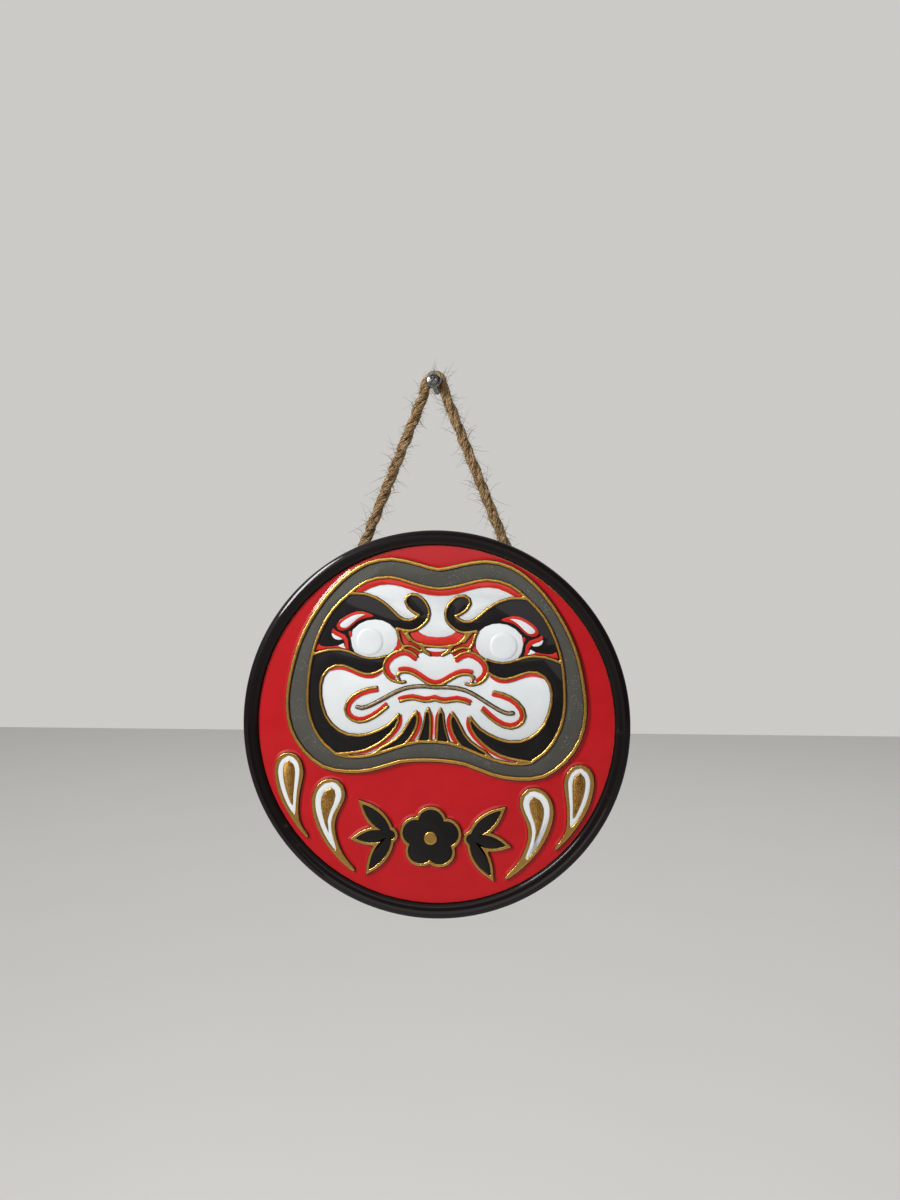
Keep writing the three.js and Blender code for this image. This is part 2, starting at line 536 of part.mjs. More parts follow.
let board = toSolid(boardDisc);
for (const leg of legs) {
  // the saddle stands square to the rope; its ear points away from the middle
  const place = anchorAt(leg.side);
  const lean = Math.atan2(leg.along.x, -leg.along.y) - THREE.MathUtils.degToRad(hangTilt);
  const seat = new THREE.Group();
  seat.position.set(place.x, place.y, 0);
  seat.rotation.z = lean;
  face.add(seat);

  const out = leg.side;
  const ropeHeight = -(gap + ropeRadius);                    // rope centre, below the board's back
  const arc = (radius, from, to, count) => Array.from({ length: count + 1 }, (_, i) => {
    const angle = from + (to - from) * i / count;
    return [out * radius * Math.cos(angle), ropeHeight + radius * Math.sin(angle)];
  });
  const outside = saddleReach + saddle.sheet;
  const strap = [
    [out * (outside + saddle.ear), backOfBoard],
    [out * saddleReach, backOfBoard],
    ...arc(saddleReach, 0, -Math.PI, 12),
    [-out * saddleReach, backOfBoard],
    [-out * outside, backOfBoard],
    ...arc(outside, -Math.PI, 0, 12),
    [out * outside, backOfBoard - saddle.sheet],
    [out * (outside + saddle.ear), backOfBoard - saddle.sheet],
  ];
  const strapShape = new THREE.Shape(strap.map(([x, h]) => new THREE.Vector2(x, h)));
  const screwX = out * (outside + saddle.ear / 2);
  const bent = new THREE.ExtrudeGeometry(strapShape, { depth: saddle.width, bevelEnabled: false })
    .translate(0, 0, -saddle.width / 2)
    .rotateX(Math.PI / 2);
  const hole = rod(saddleScrew.shank + gap, -3, saddleScrew.length + 0.5).translate(screwX, 0, 0);
  addPiece(seat, `rope_saddle_${leg.name}`, cutAway(bent, hole), 'steel');

  const headTop = backOfBoard - saddle.sheet - glue;
  addPiece(seat, `saddle_screw_${leg.name}`, turned([
    [0, headTop - saddleScrew.headHeight], [1.8, headTop - saddleScrew.headHeight],
    [2.8, headTop - 1.1], [saddleScrew.head, headTop], [saddleScrew.shank, headTop],
    [saddleScrew.shank, saddleScrew.length - 1.5], [0.3, saddleScrew.length], [0, saddleScrew.length],
  ], 20).translate(screwX, 0, 0), 'steel');

  seat.updateMatrix();
  board = board.subtract(toSolid(hole.clone().applyMatrix4(seat.matrix)));
}
addPiece(face, 'board', toGeometry(board), 'wood');
addPiece(face, 'rim', turned(rimProfile), 'black');
addPiece(face, 'red_field', turned([
  [0, boardThickness + glue], [fieldRadius - gap, boardThickness + glue], [fieldRadius - gap, panelTop],
  [0, panelTop],
]), 'red');
padPlaces.forEach(([x, y], i) => addPiece(face, `wall_pad_${i === 0 ? 'left' : 'right'}`, turned([
  [0, -wallGap], [padRadius - 2.4, -wallGap], [padRadius - 0.6, 1 - wallGap], [padRadius, 2.6 - wallGap],
  [padRadius, backOfBoard], [0, backOfBoard],
], 28).translate(x, y, 0), 'rubber'));

// ---- rope ----
const ropeSection = new THREE.Shape(roundShape(0, 0, ropeRadius, 10).map(([x, y]) => new THREE.Vector2(x, y)));
class LoopOverScrew extends THREE.Curve {
  getPoint(t, target = new THREE.Vector3()) {
    const angle = Math.PI * (1 - t);
    return target.set(ropeBend * Math.cos(angle), ropeY, ropeBend * Math.sin(angle));
  }
}
addPiece(part, 'rope_loop', new THREE.ExtrudeGeometry(ropeSection, { steps: 12, extrudePath: new LoopOverScrew() }), 'jute');
for (const leg of legs) {
  const dome = [0, 1, 2, 3].map((k) => {
    const angle = Math.PI / 2 - k * Math.PI / 6;
    return [ropeRadius * Math.cos(angle), ropeRadius * Math.sin(angle)];
  });
  const strand = new THREE.LatheGeometry(
    [[0, -leg.length], [ropeRadius, -leg.length], ...backward(dome)].map(([r, h]) => new THREE.Vector2(Math.abs(r) < 1e-9 ? 0 : r, h)),
    10,
  );
  strand.rotateX(Math.PI / 2);
  const mesh = addPiece(part, `rope_leg_${leg.name}`, strand, 'jute');
  mesh.position.set(leg.start.x, ropeY, leg.start.y);
  mesh.rotation.y = Math.atan2(-leg.along.x, -leg.along.y);
}

// ---- wall screw: threaded end in the wall, pan head with a cross recess ----
const screw = { head: 4.2, headHeight: 3, headSeat: 9, thread: 1.9, depth: 18, recess: 1.7, slot: 0.9, slotReach: 2.2 };
const headFace = screw.headSeat + screw.headHeight;
const screwBody = turned([
  [0, -screw.depth], [0.3, -screw.depth], [screw.thread, 4 - screw.depth], [screw.thread, -1],
  [shankRadius, 0], [shankRadius, screw.headSeat], [screw.head, screw.headSeat],
  [screw.head, screw.headSeat + 0.9], [3.6, screw.headSeat + 2.1], [2.4, headFace - 0.2], [0, headFace],
], 24);
const slotArm = (angle) => new THREE.BoxGeometry(2 * screw.slotReach, screw.slot, 2 * screw.recess)
  .rotateZ(angle).translate(0, 0, headFace);
const crossCut = toSolid(slotArm(Math.PI / 4)).add(toSolid(slotArm(-Math.PI / 4)));
addPiece(part, 'wall_screw', toGeometry(toSolid(screwBody).subtract(crossCut)).rotateX(Math.PI / 2), 'steel');

export default part;
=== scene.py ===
import math
import random

import bpy
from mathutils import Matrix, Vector


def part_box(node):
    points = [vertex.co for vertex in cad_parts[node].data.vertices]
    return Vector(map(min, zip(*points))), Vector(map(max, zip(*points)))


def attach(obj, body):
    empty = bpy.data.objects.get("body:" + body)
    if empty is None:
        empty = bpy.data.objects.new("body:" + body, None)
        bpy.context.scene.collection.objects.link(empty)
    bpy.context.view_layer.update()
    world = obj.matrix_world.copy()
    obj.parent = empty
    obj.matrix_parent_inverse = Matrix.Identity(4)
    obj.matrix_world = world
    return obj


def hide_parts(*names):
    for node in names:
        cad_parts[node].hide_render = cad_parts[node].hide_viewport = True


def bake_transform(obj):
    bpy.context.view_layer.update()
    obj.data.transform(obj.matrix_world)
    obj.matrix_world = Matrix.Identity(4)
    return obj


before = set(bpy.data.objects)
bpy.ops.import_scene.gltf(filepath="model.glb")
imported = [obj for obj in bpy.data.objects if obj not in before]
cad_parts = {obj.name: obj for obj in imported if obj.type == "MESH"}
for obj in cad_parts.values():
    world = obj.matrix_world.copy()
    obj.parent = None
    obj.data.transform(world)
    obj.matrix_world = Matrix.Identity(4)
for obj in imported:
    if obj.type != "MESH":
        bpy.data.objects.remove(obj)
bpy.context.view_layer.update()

mm = 0.001
boardLow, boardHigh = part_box("board")
print("frame loaded", len(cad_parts), "nodes")


# ---- places ----
# heights are above the back of the board, in millimetres, as in the frame
plaque = {
    "middle": ((boardLow[0] + boardHigh[0]) / 2, (boardLow[2] + boardHigh[2]) / 2),
    "back": boardHigh[1],
    "tilt": math.radians(1.75),
    "panelTop": 10.3,
    "fillTop": 11.3,
    "markTop": 11.8,
    "lineTop": 12.4,
}


def onFace(x, y, height):
    # a place on the face, given in millimetres from its middle, as a point of the frame
    c, s = math.cos(plaque["tilt"]), math.sin(plaque["tilt"])
    return Vector((
        plaque["middle"][0] + (x * c + y * s) * mm,
        plaque["back"] - height * mm,
        plaque["middle"][1] + (y * c - x * s) * mm,
    ))


# ---- camera ----
camera = {"aim": (0.0093, -0.019, -0.115), "away": 0.4445, "turn": 4.0, "lens": 26.0}
turn = math.radians(camera["turn"])
aim = Vector(camera["aim"])
eye = aim + camera["away"] * Vector((math.sin(turn), -math.cos(turn), 0))
bpy.ops.object.camera_add(location=eye, rotation=(math.pi / 2, 0, turn))
bpy.context.object.data.lens = camera["lens"]
bpy.context.object.data.clip_start = 0.01
bpy.context.scene.camera = bpy.context.object


# ---- shader maths ----
class Field:
    # one output of a node; sums and products of fields add the Math nodes they need
    def __init__(self, tree, socket):
        self.tree = tree
        self.socket = socket

    def plug(self, value, into):
        if isinstance(value, Field):
            self.tree.links.new(value.socket, into)
        else:
            into.default_value = value

    def maths(self, operation, *values):
        node = self.tree.nodes.new("ShaderNodeMath")
        node.operation = operation
        for value, into in zip(values, node.inputs):
            self.plug(value, into)
        return Field(self.tree, node.outputs[0])

    def __add__(self, other):
        return self.maths("ADD", self, other)

    def __radd__(self, other):
        return self.maths("ADD", other, self)

    def __sub__(self, other):
        return self.maths("SUBTRACT", self, other)

    def __rsub__(self, other):
        return self.maths("SUBTRACT", other, self)

    def __mul__(self, other):
        return self.maths("MULTIPLY", self, other)

    def __rmul__(self, other):
        return self.maths("MULTIPLY", other, self)

    def __truediv__(self, other):
        return self.maths("DIVIDE", self, other)

    def between(self, low, high):
        # 0 up to low, 1 from high on
        node = self.tree.nodes.new("ShaderNodeMapRange")
        node.interpolation_type = "SMOOTHSTEP"
        for value, name in ((self, "Value"), (low, "From Min"), (high, "From Max")):
            self.plug(value, node.inputs[name])
        return Field(self.tree, node.outputs[0])


class Finish:
    # one material; constants go straight on the shader
    def __init__(self, name, **constants):
        self.material = bpy.data.materials.new(name)
        self.material.use_nodes = True
        self.tree = self.material.node_tree
        self.shader = self.tree.nodes["Principled BSDF"]
        for socket, value in constants.items():
            self.shader.inputs[socket.replace("_", " ")].default_value = value

    def node(self, kind, settings=None, inputs=None, output=0):
        node = self.tree.nodes.new("ShaderNode" + kind)
        for name, value in (settings or {}).items():
            if name == "stops":
                ramp = node.color_ramp
                while len(ramp.elements) < len(value):
                    ramp.elements.new(1)
                for element, (place, colour) in zip(ramp.elements, value):
                    element.position = place
                    element.color = (*colour, 1)
            else:
                setattr(node, name, value)
        for name, value in (inputs or {}).items():
            if isinstance(value, Field):
                self.tree.links.new(value.socket, node.inputs[name])
            else:
                node.inputs[name].default_value = value
        return Field(self.tree, node.outputs[output])

    def place(self, stretch=(1, 1, 1)):
        # where a point is in the frame, in millimetres
        return self.node("Mapping", inputs={
            "Vector": self.node("TexCoord", output="Object"),
            "Scale": [s / mm for s in stretch],
        })

    def noise(self, size, place=None, detail=3, rough=0.5):
        # clouds about that many millimetres across, from 0 to 1
        return self.node("TexNoise", inputs={
            "Vector": place or self.place(),
            "Scale": 1 / size,
            "Detail": detail,
            "Roughness": rough,
        })

    def specks(self, size, place=None):
        # distance from scattered points
        return self.node("TexVoronoi", inputs={
            "Vector": place or self.place(),
            "Scale": 1 / size,
        })

    def blend(self, share, first, second):
        first, second = [(*c, 1) if isinstance(c, tuple) else c for c in (first, second)]
        return self.node("Mix", {"data_type": "RGBA"}, {0: share, 6: first, 7: second}, output=2)

    def ramp(self, value, *stops):
        return self.node("ValToRGB", {"stops": stops}, {"Fac": value})

    def feed(self, **sockets):
        for name, value in sockets.items():
            self.tree.links.new(value.socket, self.shader.inputs[name.replace("_", " ")])
        return self

    def relief(self, height, depth):
        # depth is in millimetres
        bump = self.node("Bump", inputs={"Height": height, "Distance": depth * mm, "Strength": 1})
        return self.feed(Normal=bump)


def paintTone(red, green, blue):
    # a screen colour of 0 to 255 as the renderer's own light values
    tones = (red, green, blue)
    return tuple(((c / 255 + 0.055) / 1.055) ** 2.4 if c > 10 else c / 3294.6 for c in tones)


# ---- finishes ----
def enamel(name, tone, deep, roughness):
    # poured colour: slightly uneven, with a faint orange peel and a few dull rubbed places
    finish = Finish(name, Coat_Weight=0.3, Coat_Roughness=0.05, Specular_IOR_Level=0.2)
    cloud = finish.noise(11, detail=4)
    grain = finish.noise(0.5, detail=2)
    rubbed = finish.noise(26, detail=5, rough=0.62).between(0.52, 0.72)
    finish.feed(Base_Color=finish.blend(cloud.between(0.3, 0.7) * 0.7 + grain * 0.3, tone, deep))
    finish.feed(Roughness=rubbed * 0.12 + grain * 0.06 + roughness)
    return finish.relief(finish.noise(1.6, detail=1) + grain * 0.15, 0.03)


redPaint = enamel("redEnamel", paintTone(188, 18, 26), paintTone(180, 14, 22), 0.36)
orangePaint = enamel("orangeEnamel", paintTone(204, 42, 28), paintTone(192, 34, 24), 0.32)
whitePaint = enamel("whiteEnamel", paintTone(226, 230, 231), paintTone(219, 224, 226), 0.26)
blackPaint = enamel("blackEnamel", paintTone(16, 10, 11), paintTone(12, 7, 8), 0.42)


def speckledGrey():
    finish = Finish("speckledGrey", Specular_IOR_Level=0.25)
    speck = 1 - finish.specks(1.15).between(0.14, 0.26)
    rare = finish.noise(7, detail=2).between(0.44, 0.62)
    flour = finish.noise(0.22, detail=2)
    base = finish.blend(flour, paintTone(80, 79, 73), paintTone(70, 69, 64))
    finish.feed(Base_Color=finish.blend(speck * rare * 0.7, base, paintTone(150, 148, 134)))
    finish.feed(Roughness=0.5 - speck * rare * 0.2 + flour * 0.1)
    return finish.relief(flour + speck * 0.6, 0.03)


greyPaint = speckledGrey()


# each ramp runs from a black painted shade at a bead's foot up to the gold of its crown, painted lightest
# there as a highlight
brightGold = ((20, 13, 10), (88, 54, 20), (164, 114, 46), (216, 168, 84))
brownGold = ((20, 13, 10), (78, 48, 18), (150, 104, 42), (210, 164, 86))
whiskerTones = ((14, 11, 11), (84, 64, 42), (164, 132, 90), (226, 202, 164))


def gilding(name, crown, tones):
    # gold painted brighter on the crown of a bead as a highlight, and painted black as shade at its foot and
    # on its lower flank, with random worn patches mixed in
    finish = Finish(name, IOR=1.5)
    fall = 0.8                                         # millimetres from the crown down to the black foot
    y = finish.node("SeparateXYZ", inputs={"Vector": finish.place()}, output="Y")
    # painted shade by height: the bead darkens from its crown down to its foot
    heightShade = (plaque["back"] / mm - y - crown) / fall + 1
    flank = finish.node("TexCoord", output="Normal")
    # painted shade by facing: flanks facing up and left are lighter, flanks facing down and right darker
    flankShade = (finish.node("SeparateXYZ", inputs={"Vector": flank}, output="Z") * 0.8
             - finish.node("SeparateXYZ", inputs={"Vector": flank}, output="X") * 0.6)
    patch = finish.noise(2.4, detail=4, rough=0.6)
    grain = finish.noise(0.35, detail=3)
    # painted shade and highlight from height and facing, with random wear noise added
    shadeAndWear = heightShade * 0.8 + flankShade * 0.16 + (patch - 0.5) * 0.4 + (grain - 0.5) * 0.25
    stops = [(place, paintTone(*tone)) for place, tone in zip((0.42, 0.54, 0.66, 0.84), tones)]
    finish.feed(Base_Color=finish.ramp(shadeAndWear, *stops))
    finish.feed(Metallic=shadeAndWear.between(0.35, 0.7) * 0.95)
    finish.feed(Roughness=0.34 - shadeAndWear.between(0.3, 0.9) * 0.16 + grain * 0.12)
    return finish.relief(grain + patch * 0.8, 0.07)


lineGold = gilding("lineGold", plaque["lineTop"] - 0.1, brightGold)
whiskerGold = gilding("whiskerGold", plaque["lineTop"], whiskerTones)
dropGold = gilding("dropGold", plaque["fillTop"] + 0.4, brownGold)


def paintedShadowMetal():
    # the black of the painted shadow under the gold beads, mottled with brown
    finish = Finish("paintedShadowBlack", Specular_IOR_Level=0.4)
    shadeMottle = finish.noise(0.6, detail=4)
    brown = shadeMottle.between(0.45, 0.75)
    finish.feed(Base_Color=finish.blend(brown, paintTone(18, 12, 10), paintTone(74, 48, 22)))
    finish.feed(Roughness=shadeMottle * 0.2 + 0.35)
    return finish.relief(shadeMottle, 0.05)


paintedShadowBlack = paintedShadowMetal()


def hammeredGold():
    # the sunk cores of the drops: brown gold with short brushed grain
    finish = Finish("hammeredGold", Metallic=0.7)
    streak = finish.noise(0.34, place=finish.place((1, 1, 0.5)), detail=3, rough=0.6)
    patch = finish.noise(3, detail=3)
    finish.feed(Base_Color=finish.ramp(
        streak * 0.8 + patch * 0.2,
        (0.34, paintTone(92, 58, 16)),
        (0.5, paintTone(142, 98, 34)),
        (0.66, paintTone(206, 162, 88)),
    ))
    finish.feed(Roughness=streak * 0.3 + 0.3)
    return finish.relief(streak, 0.08)


coreGold = hammeredGold()


def glossBlack():
    # lacquered ring: long faint streaks run round it, worn to brown on a few high spots
    finish = Finish("rimLacquer", Coat_Roughness=0.05, Specular_IOR_Level=0.08)
    place = finish.node("TexCoord", output="UV")
    streak = finish.node("TexNoise", inputs={
        "Vector": finish.node("Mapping", inputs={"Vector": place, "Scale": (46, 3, 1)}),
        "Scale": 6,
        "Detail": 5,
    })
    dust = finish.noise(0.6, detail=3)
    rubbed = finish.noise(9, detail=5, rough=0.7).between(0.6, 0.74)
    base = finish.blend(dust, paintTone(20, 13, 14), paintTone(13, 8, 9))
    finish.feed(Base_Color=finish.blend(rubbed * streak * 0.6, base, paintTone(84, 66, 48)))
    finish.feed(Coat_Weight=streak.between(0.46, 0.6) * 0.75 + 0.2)
    finish.feed(Roughness=streak * 0.2 + rubbed * 0.1 + 0.35)
    return finish.relief(streak * 0.7 + dust * 0.3, 0.06)


rimPaint = glossBlack()


def juteYarn():
    # straw fibres that follow the twist of the strands, with painted shade in the grooves between them
    finish = Finish("juteYarn", Specular_IOR_Level=0.15)
    place = finish.node("TexCoord", output="UV")
    along = finish.node("SeparateXYZ", inputs={"Vector": place}, output="X") * 270
    around = finish.node("SeparateXYZ", inputs={"Vector": place}, output="Y") * 18
    slant = finish.node("CombineXYZ", inputs={"X": along * 0.16, "Y": around + along * 0.45})
    fibre = finish.noise(1 / 3, place=slant, detail=3, rough=0.6)
    gap = finish.noise(1 / 1.6, place=slant, detail=2, rough=0.55)
    patch = finish.noise(4, detail=2)
    # painted shade: the grooves between the strands are coloured near black
    grooveShade = gap.between(0.53, 0.62)
    tone = fibre * 0.85 + patch * 0.15
    straw = finish.ramp(
        tone,
        (0.36, paintTone(106, 70, 36)),
        (0.46, paintTone(152, 118, 78)),
        (0.54, paintTone(186, 156, 114)),
        (0.64, paintTone(230, 210, 174)),
    )
    finish.feed(Base_Color=finish.blend(grooveShade * 0.9, straw, paintTone(48, 26, 10)))
    finish.feed(Roughness=0.95 - fibre * 0.15)
    return finish.relief(fibre - grooveShade * 0.9, 0.8)


jute = juteYarn()


def twist():
    finish = Finish("waxedTwine", Specular_IOR_Level=0.3)
    strand = finish.noise(0.3, detail=4)
    finish.feed(Base_Color=finish.blend(strand, paintTone(88, 60, 36), paintTone(128, 94, 60)))
    finish.feed(Roughness=strand * 0.2 + 0.55)
    return finish.relief(strand, 0.1)


waxedTwine = twist()


def zincSteel(name, tone, roughness, patchDarkening):
    finish = Finish(name, Metallic=1.0)
    spangle = finish.noise(0.9, detail=4, rough=0.6)
    scuff = finish.noise(0.25, detail=3)
    dull = tuple(c * (1 - patchDarkening) for c in tone)
    # the darker spangle patches are partly zinc spangle and partly a painted dark reflection of the room
    finish.feed(Base_Color=finish.blend(spangle.between(0.35, 0.65), tone, dull))
    finish.feed(Roughness=spangle * 0.2 + scuff * 0.08 + roughness)
    return finish.relief(scuff + spangle * 2, 0.06 * patchDarkening)


screwSteel = zincSteel("screwSteel", (0.34, 0.33, 0.32), 0.04, 0.85)
saddleSteel = zincSteel("saddleSteel", (0.62, 0.63, 0.64), 0.24, 0.4)


def paleWood():
    # long grain across the board, with a few darker growth lines
    finish = Finish("paleWood", Specular_IOR_Level=0.3)
    swell = finish.noise(46, place=finish.place((0.22, 1, 1)), detail=1)
    waver = finish.noise(6, place=finish.place((0.1, 1, 1)), detail=2)
    rings = finish.node("Math", {"operation": "SINE"}, {0: swell * 90 + waver * 3})
    fibre = finish.noise(0.7, place=finish.place((0.04, 1, 1)), detail=5, rough=0.65)
    patch = finish.noise(30, detail=2)
    finish.feed(Base_Color=finish.ramp(
        rings * 0.09 + fibre * 0.6 + patch * 0.3,
        (0.25, paintTone(150, 110, 68)),
        (0.45, paintTone(188, 150, 104)),
        (0.65, paintTone(206, 172, 126)),
    ))
    finish.feed(Roughness=0.75 - fibre * 0.2)
    return finish.relief(fibre, 0.12)


wood = paleWood()


def softRubber():
    finish = Finish("padRubber", Specular_IOR_Level=0.3)
    dust = finish.noise(1.2, detail=4)
    finish.feed(Base_Color=finish.blend(dust, (0.02, 0.02, 0.02), (0.05, 0.05, 0.048)))
    finish.feed(Roughness=dust * 0.2 + 0.7)
    return finish.relief(finish.noise(0.3), 0.05)


rubber = softRubber()
print("finishes made")


# ---- making pieces ----
def only(piece):
    bpy.ops.object.select_all(action="DESELECT")
    piece.select_set(True)
    bpy.context.view_layer.objects.active = piece


def applied(piece, kind, **settings):
    only(piece)
    modifier = piece.modifiers.new(kind, kind)
    for name, value in settings.items():
        setattr(modifier, name, value)
    bpy.ops.object.modifier_apply(modifier=modifier.name)


def painted(piece, finish, body="plaque"):
    piece.data.materials.clear()
    piece.data.materials.append(finish.material)
    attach(piece, body)
    return piece


def copyOf(node, name):
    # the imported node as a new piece, its loose triangles joined up
    piece = bpy.data.objects.new(name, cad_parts[node].data.copy())
    bpy.context.collection.objects.link(piece)
    only(piece)
    bpy.ops.object.mode_set(mode="EDIT")
    bpy.ops.mesh.select_all(action="SELECT")
    bpy.ops.mesh.remove_doubles(threshold=1.5e-6)
    bpy.ops.object.mode_set(mode="OBJECT")
    return piece


def chosen(piece, kind, wanted):
    # edit mode, with only the wanted vertices or faces selected
    only(piece)
    bpy.ops.object.mode_set(mode="EDIT")
    bpy.ops.mesh.select_mode(type="VERT" if kind == "vertices" else "FACE")
    bpy.ops.mesh.select_all(action="DESELECT")
    bpy.ops.object.mode_set(mode="OBJECT")
    for part in getattr(piece.data, kind):
        part.select = wanted(part)
    bpy.ops.object.mode_set(mode="EDIT")


def solidOf(curve):
    only(curve)
    bpy.ops.object.convert(target="MESH")
    return bpy.context.object


def triangles(piece):
    return sum(len(p.vertices) - 2 for p in piece.data.polygons)


def faceOf(point):
    # the way back from the frame to millimetres on the face
    c, s = math.cos(plaque["tilt"]), math.sin(plaque["tilt"])
    x, z = (point.x - plaque["middle"][0]) / mm, (point.z - plaque["middle"][1]) / mm
    return Vector((x * c - z * s, x * s + z * c))


def awayFrom(place, line):
    nearest = 1e9
    for a, b in zip(line, line[1:]):
        span = b - a
        share = min(1, max(0, (place - a).dot(span) / span.length_squared))
        nearest = min(nearest, (place - a - span * share).length)
    return nearest


# ---- gold lines: flat strips turned into round beads ----
# each bead stands in a wider, lower one, slipped a little to the lower right and painted black as the bead's
# shadow
bead = {"grain": 0.0003, "rounds": 7, "swell": 0.00002, "sink": 0.00005}
shadowBead = {"grain": 0.0004, "rounds": 4, "swell": 0.0004, "sink": 0.00075, "slip": 0.00008}


def rounded(node, name, size):
    piece = copyOf(node, name)
    applied(piece, "REMESH", mode="VOXEL", voxel_size=size["grain"])
    applied(piece, "SMOOTH", factor=0.5, iterations=size["rounds"])
    only(piece)
    slip = size.get("slip", 0)
    bpy.ops.object.mode_set(mode="EDIT")
    bpy.ops.mesh.select_all(action="SELECT")
    bpy.ops.transform.shrink_fatten(value=size["swell"])
    bpy.ops.transform.translate(value=(slip, size["sink"], -slip))
    bpy.ops.object.mode_set(mode="OBJECT")
    bpy.ops.object.shade_smooth()
    return piece


def beadOf(node, finish):
    piece = rounded(node, "bead_" + node, bead)
    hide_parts(node)
    print("bead", node, triangles(piece))
    # the wider, lower copy is painted black as the bead's shadow
    painted(rounded(node, "shadow_" + node, shadowBead), paintedShadowBlack)
    return painted(piece, finish)


# the whisker line over the mouth, from the middle to its right end: pale gold between edges painted black as
# shade
whisker = {
    "line": [Vector(p) for p in (
        (0, 19.2), (5, 19.5), (10.5, 19.2), (15.5, 18.2), (20.5, 16), (26, 12.8), (31, 9.9), (35.5, 7.7),
        (38, 7.1), (40.2, 7.5),
    )],
    "lowest": 6,
    "highest": 21,
    "crown": 0.5,
    "foot": 1.15,
}
lines = beadOf("face_lines", lineGold)
lines.data.materials.append(whiskerGold.material)
lines.data.materials.append(paintedShadowBlack.material)
for polygon in lines.data.polygons:
    place = faceOf(polygon.center)
    place.x = abs(place.x)
    if whisker["lowest"] < place.y < whisker["highest"]:
        away = awayFrom(place, whisker["line"])
        if away < whisker["crown"]:
            polygon.material_index = 1
        # faces along the whisker's edges take the black of the painted shadow
        elif away < whisker["foot"]:
            polygon.material_index = 2
beadOf("hood_line", lineGold)
beadOf("mouth_line", lineGold)
for side in ("left", "right"):
    beadOf("hook_line_" + side, lineGold)
    beadOf("sprig_line_" + side, dropGold)
    beadOf("outer_drop_gold_" + side, dropGold)
    beadOf("inner_drop_gold_" + side, dropGold)
beadOf("blossom_line", dropGold)
beadOf("blossom_heart", dropGold)


# ---- lips of red enamel, drawn up against the castings that stand on the field ----
lipShape = {"width": 0.0014, "rise": 0.00053, "crease": 34}


def enamelLip(node):
    piece = copyOf(node, "lip_" + node)
    chosen(piece, "polygons", lambda p: p.normal.y > 0.99)
    bpy.ops.mesh.region_to_loop()
    bpy.ops.mesh.select_all(action="INVERT")
    bpy.ops.mesh.delete(type="EDGE")
    bpy.ops.mesh.select_all(action="SELECT")
    bpy.ops.mesh.separate(type="LOOSE")
    bpy.ops.object.mode_set(mode="OBJECT")
    rings = sorted(bpy.context.selected_objects, key=lambda o: o.dimensions.x)
    for inner in rings[:-1]:
        bpy.data.objects.remove(inner)
    only(rings[-1])
    bpy.ops.object.convert(target="CURVE")
    lip = bpy.context.object
    lip.name = "lip_" + node
    lip.data.bevel_depth = lipShape["width"]
    lip.data.bevel_resolution = 0
    lip = solidOf(lip)
    level = plaque["back"] - plaque["panelTop"] * mm
    depths = [v.co.y for v in lip.data.vertices]
    middle = (min(depths) + max(depths)) / 2
    for vertex in lip.data.vertices:
        vertex.co.y = level + (vertex.co.y - middle) * lipShape["rise"] / lipShape["width"]
    only(lip)
    bpy.ops.object.shade_smooth_by_angle(angle=math.radians(lipShape["crease"]))
    return painted(lip, redPaint)


enamelLip("hood_line")
for side in ("left", "right"):
    enamelLip("outer_drop_gold_" + side)
    enamelLip("inner_drop_gold_" + side)
    enamelLip("sprig_line_" + side)
enamelLip("blossom_line")
print("lips drawn")


# ---- sunk cores of the drops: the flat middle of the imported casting, laid on again in hammered gold ----
coreShape = {"inset": 0.00035, "thickness": 0.0005, "edge": 0.00018}


def coreOf(node):
    piece = copyOf(node, "core_" + node)
    top = min(v.co.y for v in piece.data.vertices)
    chosen(piece, "polygons", lambda p: p.normal.y > -0.99 or abs(p.center.y - top) > 0.0001)
    bpy.ops.mesh.delete(type="FACE")
    bpy.ops.mesh.select_all(action="SELECT")
    bpy.ops.mesh.separate(type="LOOSE")
    bpy.ops.object.mode_set(mode="OBJECT")
    islands = sorted(bpy.context.selected_objects, key=lambda o: o.dimensions.z)
    for ring in islands[1:]:
        bpy.data.objects.remove(ring)
    piece = islands[0]
    piece.name = "core_" + node
    only(piece)
    bpy.ops.object.mode_set(mode="EDIT")
    bpy.ops.mesh.select_all(action="SELECT")
    bpy.ops.mesh.dissolve_limited(angle_limit=math.radians(1))
    bpy.ops.mesh.inset(thickness=coreShape["inset"])
    bpy.ops.mesh.select_all(action="INVERT")
    bpy.ops.mesh.delete(type="FACE")
    bpy.ops.object.mode_set(mode="OBJECT")
    applied(piece, "SOLIDIFY", thickness=coreShape["thickness"], offset=0)
    applied(piece, "BEVEL", width=coreShape["edge"], segments=3, limit_method="ANGLE", harden_normals=True)
    bpy.ops.object.shade_smooth_by_angle(angle=math.radians(50))
    return painted(piece, coreGold)


for side in ("left", "right"):
    coreOf("outer_drop_gold_" + side)
    coreOf("inner_drop_gold_" + side)
print("cores laid")


# ---- poured fills: edges rounded, and grown to meet under the lines ----
fills = {"grow": 0.00013, "edge": 0.00028}


def poured(node, finish, flatAbove=None):
    piece = copyOf(node, "fill_" + node)
    if flatAbove:
        chosen(piece, "vertices", lambda vertex: vertex.co.y < plaque["back"] - flatAbove * mm)
        bpy.ops.mesh.delete(type="VERT")
        bpy.ops.mesh.select_all(action="SELECT")
        bpy.ops.mesh.fill_holes(sides=0)
        bpy.ops.object.mode_set(mode="OBJECT")
    bpy.ops.object.mode_set(mode="EDIT")
    bpy.ops.mesh.select_all(action="SELECT")
    bpy.ops.mesh.dissolve_limited(angle_limit=math.radians(1))
    bpy.ops.transform.shrink_fatten(value=fills["grow"], use_even_offset=True)
    bpy.ops.object.mode_set(mode="OBJECT")
    bpy.ops.object.shade_smooth()
    applied(piece, "BEVEL", width=fills["edge"], segments=3, limit_method="ANGLE",
            angle_limit=math.radians(50), harden_normals=True)
    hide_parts(node)
    return painted(piece, finish)


